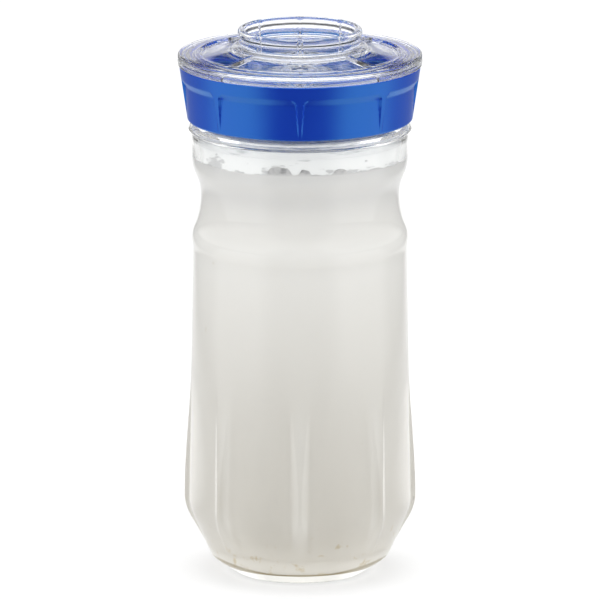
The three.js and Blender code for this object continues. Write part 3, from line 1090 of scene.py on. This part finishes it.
# Clear cover
# Clear copolyester, moulded in one: a grooved hollow rim, a plate with four spokes between thin
# pockets, a plug that holds the seal, and a grip ring with eight fine ribs inside it.
COVER_STEPS = 320
COVER_SPACING = 0.22
RING_SPACING = 0.35
PLATE_LOW = 216.9
PLATE_TOP = 219.8
PLATE_RINGS = (0, 10, 20)
PLATE_FALL = 1.9
PLATE_SPAN = (27.9, 41.2)
POCKET_FLOOR = 218.6
POCKET_SPAN = (28.6, 40)
POCKET_REACH = (27.2, 41.4)
POCKET_MARGIN = 0.5
SPOKES = 4
SPOKE_WIDTH = 2.4
SPOKE_EDGE = (-0.3, 0.5)
RING_BORE_BAND = (22.3, 23.3)
RING_RIB_DEPTH = 0.8
RING_RIB_WIDTH = 1.8
RING_RIB_EDGE = 0.35
RING_RIB_FOOT = (220.0, 220.8)
RING_RIB_TOP = (225.8, 227.0)
TAB_RADII = (46.7, 48.1)
TAB_HEIGHTS = (211.8, 215.2)
TAB_STEPS = 8
grip_ring = drawn(
    (27.9, 219.8),
    [
        [(25.4, 220.0), (24.6, 221.8), (24.6, 223.4)],
        [(24.6, 224.5), (25.5, 224.6), (25.5, 225.7)],
        [(25.5, 227.1), (24.9, 227.6), (24.2, 227.6)],
        [(23.3, 227.6), (22.9, 227.1), (22.9, 226.4)],
        [(22.9, 220.8)],
        [(22.9, 219.8), (21.9, 219.8)],
    ],
    RING_SPACING,
)
cover_corners = [
    (28.6, 216.9, 1.0),
    (40.0, 215.0, 0.8),
    (43.0, 215.0, 0.8),
    (43.0, 207.5, 0.4),
    (45.8, 207.5, 0.5),
    (45.8, 210.2, 0.1),
    (44.6, 210.2, 0.15),
    (44.6, 212.4, 0.15),
    (45.8, 212.4, 0.1),
    (45.8, 215.0, 0.5),
    (47.8, 215.0, 0.5),
    (47.8, 212.7, 0.25),
    (49.9, 212.7, 0.35),
    (50.0, 214.6, 0.25),
    (49.5, 214.85, 0.12),
    (50.0, 215.1, 0.25),
    (49.9, 217.3, 1.0),
    (44.5, 217.65, 2.0),
    (41.2, 217.9, 0.4),
    (40.2, 216.7, 0.4),
    (28.6, 218.6, 0.4),
    *[(radius, height, 0) for radius, height in grip_ring],
]
cover_profile = [
    *[(radius, PLATE_LOW) for radius in PLATE_RINGS],
    *rounded(cover_corners, COVER_SPACING),
    *[(radius, PLATE_TOP) for radius in PLATE_RINGS[::-1]],
]
cover = turned("cover_body", cover_profile, COVER_STEPS)


def ring_ribs(radius, height, share):
    """Draw the grip ring's inside in at its ribs."""
    if not RING_BORE_BAND[0] < radius < RING_BORE_BAND[1] or height <= RING_RIB_FOOT[0]:
        return radius, height
    half = RING_RIB_WIDTH / 2
    from_rib = min(share, 1 - share) * 2 * math.pi / FACETS * radius
    rib = 1 - smoothstep(half - RING_RIB_EDGE, half + RING_RIB_EDGE, from_rib)
    return radius - RING_RIB_DEPTH * rib * swell(RING_RIB_FOOT, RING_RIB_TOP, height), height


def fallen(top, span, radius):
    """Height of the plate or of a pocket's floor, which fall outwards from a top height."""
    return top - PLATE_FALL * (radius - span[0]) / (span[1] - span[0])


reshape(cover, ring_ribs, gather=0.7)
# The pockets' floors are raised to the plate where the spokes cross them
for vertex in cover.data.vertices:
    x, y, z = vertex.co
    radius = math.hypot(x, y) / MM
    pocket_low = fallen(POCKET_FLOOR, POCKET_SPAN, radius) - POCKET_MARGIN
    if POCKET_REACH[0] < radius < POCKET_REACH[1] and z / MM > pocket_low:
        spoke_turn = 2 * math.pi / SPOKES
        off = (math.atan2(x, -y) - spoke_turn / 2) % spoke_turn
        off = min(off, spoke_turn - off) * radius - SPOKE_WIDTH / 2
        missing = max(0, fallen(PLATE_TOP, PLATE_SPAN, radius) - z / MM)
        vertex.co.z += (1 - smoothstep(*SPOKE_EDGE, off)) * missing * MM


def tab(bearing):
    """A small curved block under the rim, which runs in a recess of the lid's collar."""
    (inner, outer), (low, high) = TAB_RADII, TAB_HEIGHTS
    points = []
    for i in range(TAB_STEPS + 1):
        turn = math.radians(bearing - TAB_STEPS / 2 + i)
        for radius, height in ((inner, low), (outer, low), (outer, high), (inner, high)):
            points.append((radius * math.sin(turn), -radius * math.cos(turn), height))
    last = 4 * TAB_STEPS
    faces = [(0, 1, 2, 3), (last + 3, last + 2, last + 1, last)]
    for i in range(TAB_STEPS):
        for side in range(4):
            a = 4 * i + side
            b = 4 * i + (side + 1) % 4
            faces.append((a, a + 4, b + 4, b))
    return new_piece("tab", points, [], faces)


tabs = joined([tab(45 + 90 * i) for i in range(SPOKES)])
face_outwards()
combine(cover, tabs, "UNION")
smooth(cover)
cover.data.materials.append(copolyester)
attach(cover, "cover")
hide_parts("clear_cover")

# Floor
# A plain white studio table that carries the jar's soft shadow, with a painted contact shade
# round the
# foot and a painted glow under it. It shows white through glass. Gloss sees painted reflections
# on it:
# dark in front, bright in two glowing patches behind, and dim in the far corners.
FLOOR_SIZE = 12
bpy.ops.object.select_all(action="DESELECT")
bpy.ops.mesh.primitive_plane_add(size=FLOOR_SIZE, location=(0, 0, 0))
floor = bpy.context.object
floor.name = "studio_floor"
paper, tree = new_material("white_floor")
path = add(tree, "ShaderNodeLightPath")
place = add(tree, "ShaderNodeTexCoord").outputs["Object"]
spot = add(tree, "ShaderNodeSeparateXYZ", {"Vector": place})
away = add(tree, "ShaderNodeVectorMath", {0: place}, operation="LENGTH")
aside = add(tree, "ShaderNodeMath", {0: spot.outputs["X"]}, operation="ABSOLUTE")
# What gloss sees: painted reflections, first a dark wedge in front of the jar
wedge = add(
    tree, "ShaderNodeMath", {0: aside, 1: 0.9, 2: spot.outputs["Y"]}, operation="MULTIPLY_ADD"
)
sector = add(tree, "ShaderNodeMath", {0: wedge, 1: away}, operation="DIVIDE")
beside = add(
    tree,
    "ShaderNodeMapRange",
    {
        "Value": sector,
        "From Min": -0.585,
        "From Max": 0.053,
        "To Min": 0.03,
        "To Max": 1.0,
    },
    interpolation_type="SMOOTHSTEP",
)
# Painted dim reflections in the corners far behind on both sides
sideways = add(
    tree,
    "ShaderNodeMapRange",
    {
        "Value": aside,
        "From Min": 0.22,
        "From Max": 0.4,
        "To Min": 0.0,
        "To Max": 0.6,
    },
    interpolation_type="SMOOTHSTEP",
)
rearward = add(
    tree,
    "ShaderNodeMapRange",
    {
        "Value": spot.outputs["Y"],
        "From Min": 0.0,
        "From Max": 0.2,
        "To Min": 0.0,
        "To Max": 1.0,
    },
    interpolation_type="SMOOTHSTEP",
)
corner = add(tree, "ShaderNodeMath", {0: sideways, 1: rearward}, operation="MULTIPLY")
# Two painted bright patches behind the jar, one on each side, that glow above white
folded = add(tree, "ShaderNodeCombineXYZ", {"X": aside, "Y": spot.outputs["Y"]})
patch = add(tree, "ShaderNodeVectorMath", {0: folded, 1: (0.09, 0.2, 0)}, operation="DISTANCE")
bright = add(
    tree,
    "ShaderNodeMapRange",
    {
        "Value": patch,
        "From Min": 0.09,
        "From Max": 0.16,
        "To Min": 1.7,
        "To Max": 1.0,
    },
    interpolation_type="SMOOTHSTEP",
)
far = add(tree, "ShaderNodeMath", {0: bright, 1: corner}, operation="SUBTRACT")
shade = add(tree, "ShaderNodeMath", {0: beside, 1: far}, operation="MULTIPLY")
glossed = add(
    tree, "ShaderNodeMath", {0: path.outputs["Is Glossy Ray"], 1: shade}, operation="MULTIPLY"
)
through = add(
    tree,
    "ShaderNodeMath",
    {0: path.outputs["Is Transmission Ray"], 1: glossed},
    operation="ADD",
)
# What the camera sees: white, falling into a painted contact shade round the foot
edge = add(
    tree,
    "ShaderNodeMapRange",
    {
        "Value": away,
        "From Min": 0.0255,
        "From Max": 0.0315,
        "To Min": 0.42,
        "To Max": 0.6,
    },
    interpolation_type="SMOOTHSTEP",
)
contact = add(
    tree,
    "ShaderNodeMapRange",
    {
        "Value": away,
        "From Min": 0.0315,
        "From Max": 0.055,
        "To Min": edge,
        "To Max": 0.72,
    },
    interpolation_type="SMOOTHSTEP",
)
shown = add(
    tree,
    "ShaderNodeMath",
    {0: path.outputs["Is Camera Ray"], 1: contact, 2: through},
    operation="MULTIPLY_ADD",
)
# A painted glow of the floor that lights the jar from below, strongest under its foot
under = add(
    tree,
    "ShaderNodeMapRange",
    {
        "Value": away,
        "From Min": 0.03,
        "From Max": 0.085,
        "To Min": 1.15,
        "To Max": 0.36,
    },
    interpolation_type="SMOOTHSTEP",
)
first = add(
    tree, "ShaderNodeMath", {0: path.outputs["Diffuse Depth"], 1: 0.5}, operation="LESS_THAN"
)
lift = add(tree, "ShaderNodeMix", {"Factor": first, 2: under, 3: shown})
matt_seen = add(
    tree, "ShaderNodeMath", {0: path.outputs["Is Camera Ray"], 1: 0.28}, operation="MULTIPLY"
)
matt_white = add(tree, "ShaderNodeMix", {"Factor": first, 2: 0.3, 3: matt_seen})
matt = add(tree, "ShaderNodeBsdfDiffuse", {"Color": matt_white})
glow = add(tree, "ShaderNodeEmission", {"Color": (1, 1, 1, 1), "Strength": lift})
both = add(tree, "ShaderNodeAddShader", {0: matt, 1: glow})
add(tree, "ShaderNodeOutputMaterial", {"Surface": both})
floor.data.materials.append(paper)

# White card
# A low card, white as board and glowing, that stands on the table behind the jar. It shows only
# through the glass, where its glow lights the foot as painted light.
CARD_HALF = 600
CARD_BACK = 450
CARD_HEIGHT = 130
card = new_piece(
    "white_card",
    [
        (-CARD_HALF, CARD_BACK, 0),
        (CARD_HALF, CARD_BACK, 0),
        (CARD_HALF, CARD_BACK, CARD_HEIGHT),
        (-CARD_HALF, CARD_BACK, CARD_HEIGHT),
    ],
    [],
    [(0, 1, 2, 3)],
)
card.visible_camera = False
card.visible_diffuse = False
card.visible_glossy = False
card.visible_shadow = False
board, tree = new_material("white_board")
glow = add(tree, "ShaderNodeEmission", {"Color": (1, 1, 1, 1), "Strength": 1.0})
add(tree, "ShaderNodeOutputMaterial", {"Surface": glow})
card.data.materials.append(board)

# Studio light
# A white room: even soft light from overhead, the front and both sides, dimmer behind the jar
# and under the table. Gloss and glass see a white sweep low down behind, with dark above it.
ROOM_LIGHT = 1.1
ROOM_GLOSS = 0.94
FRONT_GLOSS = 0.12
TOP_LIGHT = 1.5
BACK_LIGHT = 0.7
BACK_GLOSS = 0.03
UNDER_LIGHT = 0.15
world = bpy.data.worlds.new("studio")
bpy.context.scene.world = world
world.use_nodes = True
tree = world.node_tree
tree.nodes.clear()
direction = add(tree, "ShaderNodeTexCoord").outputs["Generated"]
look = add(tree, "ShaderNodeSeparateXYZ", {"Vector": direction})
path = add(tree, "ShaderNodeLightPath")
first = add(
    tree, "ShaderNodeMath", {0: path.outputs["Diffuse Depth"], 1: 0.5}, operation="LESS_THAN"
)
# Behind the jar: the sweep's upper edge, lower for what is seen through the glass
seen_through = add(
    tree,
    "ShaderNodeMapRange",
    {
        "Value": look.outputs["Z"],
        "From Min": 0.12,
        "From Max": 0.17,
        "To Min": 1.0,
        "To Max": BACK_GLOSS,
    },
    interpolation_type="SMOOTHSTEP",
)
seen_mirrored = add(
    tree,
    "ShaderNodeMapRange",
    {
        "Value": look.outputs["Z"],
        "From Min": 0.225,
        "From Max": 0.276,
        "To Min": 1.0,
        "To Max": BACK_GLOSS,
    },
    interpolation_type="SMOOTHSTEP",
)
sweep = add(
    tree,
    "ShaderNodeMix",
    {"Factor": path.outputs["Is Transmission Ray"], 2: seen_mirrored, 3: seen_through},
)
behind = add(tree, "ShaderNodeMix", {"Factor": first, 2: BACK_LIGHT, 3: sweep})
# In front of the jar and at its sides
ahead = add(
    tree,
    "ShaderNodeMapRange",
    {
        "Value": look.outputs["Y"],
        "From Min": -0.95,
        "From Max": -0.7,
        "To Min": FRONT_GLOSS,
        "To Max": ROOM_GLOSS,
    },
    interpolation_type="SMOOTHSTEP",
)
front = add(tree, "ShaderNodeMix", {"Factor": first, 2: ROOM_LIGHT, 3: ahead})
around = add(
    tree,
    "ShaderNodeMapRange",
    {
        "Value": look.outputs["Y"],
        "From Min": 0.25,
        "From Max": 0.65,
        "To Min": front,
        "To Max": behind,
    },
    interpolation_type="SMOOTHSTEP",
)
# Overhead and under the table
upward = add(
    tree,
    "ShaderNodeMapRange",
    {
        "Value": look.outputs["Z"],
        "From Min": 0.5,
        "From Max": 0.75,
        "To Min": 0.0,
        "To Max": 1.0,
    },
    interpolation_type="SMOOTHSTEP",
)
sky = add(tree, "ShaderNodeMix", {"Factor": upward, 2: around, 3: TOP_LIGHT})
horizon = add(
    tree,
    "ShaderNodeMapRange",
    {
        "Value": look.outputs["Z"],
        "From Min": -0.05,
        "From Max": 0.12,
        "To Min": 0.0,
        "To Max": 1.0,
    },
    interpolation_type="SMOOTHSTEP",
)
room = add(tree, "ShaderNodeMix", {"Factor": horizon, 2: UNDER_LIGHT, 3: sky})
shown = add(tree, "ShaderNodeMix", {"Factor": path.outputs["Is Camera Ray"], 2: room, 3: 1.0})
light = add(tree, "ShaderNodeBackground", {"Color": (1, 1, 1, 1), "Strength": shown})
add(tree, "ShaderNodeOutputWorld", {"Surface": light})

# Camera
# A long lens a little above the jar, at the photograph's height and angle. Light may cross the
# glass and the clear cover often enough that neither goes black.
ELEVATION = math.radians(13)
DISTANCE = 3.5
AIM = 0.1136
LENS = 511
SENSOR = 36
lens = bpy.data.cameras.new("studio_camera")
lens.sensor_width = SENSOR
lens.lens = LENS
camera = bpy.data.objects.new("studio_camera", lens)
bpy.context.collection.objects.link(camera)
camera.location = (0, -DISTANCE * math.cos(ELEVATION), AIM + DISTANCE * math.sin(ELEVATION))
camera.rotation_euler = (math.pi / 2 - ELEVATION, 0, 0)
bpy.context.scene.camera = camera
bpy.context.scene.view_settings.view_transform = "Standard"

rays = bpy.context.scene.cycles
rays.max_bounces = 32
rays.diffuse_bounces = 10
rays.glossy_bounces = 16
rays.transmission_bounces = 32
rays.blur_glossy = 0.0
